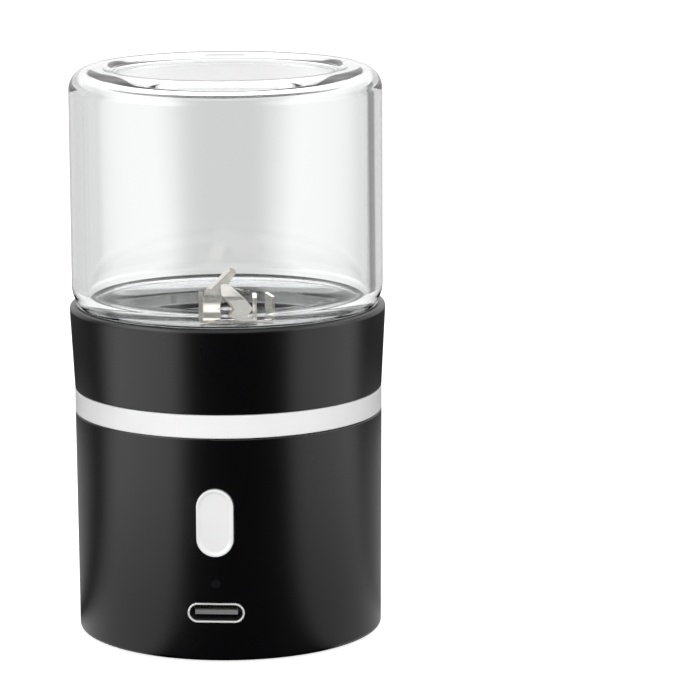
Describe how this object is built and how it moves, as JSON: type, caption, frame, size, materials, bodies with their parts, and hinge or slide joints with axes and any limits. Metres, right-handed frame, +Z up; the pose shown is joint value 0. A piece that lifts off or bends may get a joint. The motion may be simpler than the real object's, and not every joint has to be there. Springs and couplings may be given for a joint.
{
  "type": "rechargeable grinder",
  "caption": "Small rechargeable grinder: upturned clear glass jar on a flared black collar over bent steel blades, pale trim ring, tapered black base with push button and USB-C socket.",
  "frame": {"origin": "centre of the underside, at the level of the foot ring", "axes": "+Z up along the jar and motor axis, -Y the front with the button and the socket"},
  "size_m": [0.0506, 0.0504, 0.091],
  "materials": {
    "glass": "clear, polished, thick",
    "black_gloss": "satin to gloss black moulding",
    "white_trim": "satin white",
    "button": "glossy, pale silver",
    "blade_steel": "ground stainless",
    "steel": "plain plated steel",
    "socket_steel": "bright stainless shell",
    "rubber": "matt black silicone",
    "silicone": "dark silicone seal",
    "black_matte": "matt black moulding",
    "grey_plastic": "matt grey insulator",
    "bronze": "sintered bronze",
    "brass": "plain brass",
    "copper": "enamelled copper wire",
    "magnet": "dark ferrite",
    "lamination": "stacked electrical steel",
    "board": "green solder mask",
    "chip": "moulded packages",
    "lens": "clear light guide",
    "cell_foil": "foil pouch",
    "foam": "adhesive foam",
    "lead": "insulated wire"
  },
  "bodies": {
    "base": {"jar_gasket": "silicone", "collar": "black_gloss", "shaft_seal": "rubber", "trim_ring": "white_trim", "housing": "black_gloss", "base_cover": "black_matte", "foot_ring": "rubber", "cover_screws": "steel", "collar_screws": "steel", "bracket_screws": "steel", "motor_screws": "steel", "motor_bracket": "steel", "motor_can": "steel", "motor_end_cap": "black_matte", "motor_terminals": "brass", "motor_brushes": "magnet", "front_bush": "bronze", "rear_bush": "bronze", "motor_magnets": "magnet", "switch_plate": "steel", "switch_body": "black_matte", "circuit_board": "board", "board_chips": "chip", "charge_led": "lens", "light_pipe": "lens", "socket_shell": "socket_steel", "socket_tongue": "grey_plastic", "battery_cell": "cell_foil", "battery_pad": "foam", "battery_leads": "lead", "motor_leads": "lead"},
    "cutter": {"motor_shaft": "steel", "rotor_core": "lamination", "rotor_windings": "copper", "commutator": "copper", "cutter_hub": "steel", "tooth_blade": "blade_steel", "claw_blade": "blade_steel", "blade_nut": "steel"},
    "button": {"button_cap": "button", "switch_plunger": "black_matte"},
    "jar": {"glass_jar": "glass"}
  },
  "joints": [
    {"name": "cutter_spin", "type": "hinge", "parent": "base", "child": "cutter", "pos_m": [0, 0, 0.04905], "axis": [0, 0, 1], "continuous": true},
    {"name": "button_press", "type": "slide", "parent": "base", "child": "button", "axis": [0, 1, 0], "range_m": [0, 0.0004], "stiffness_N_per_m": 2500},
    {"name": "jar_lift", "type": "slide", "parent": "base", "child": "jar", "axis": [0, 0, 1], "range_m": [0, 0.05]}
  ]
}
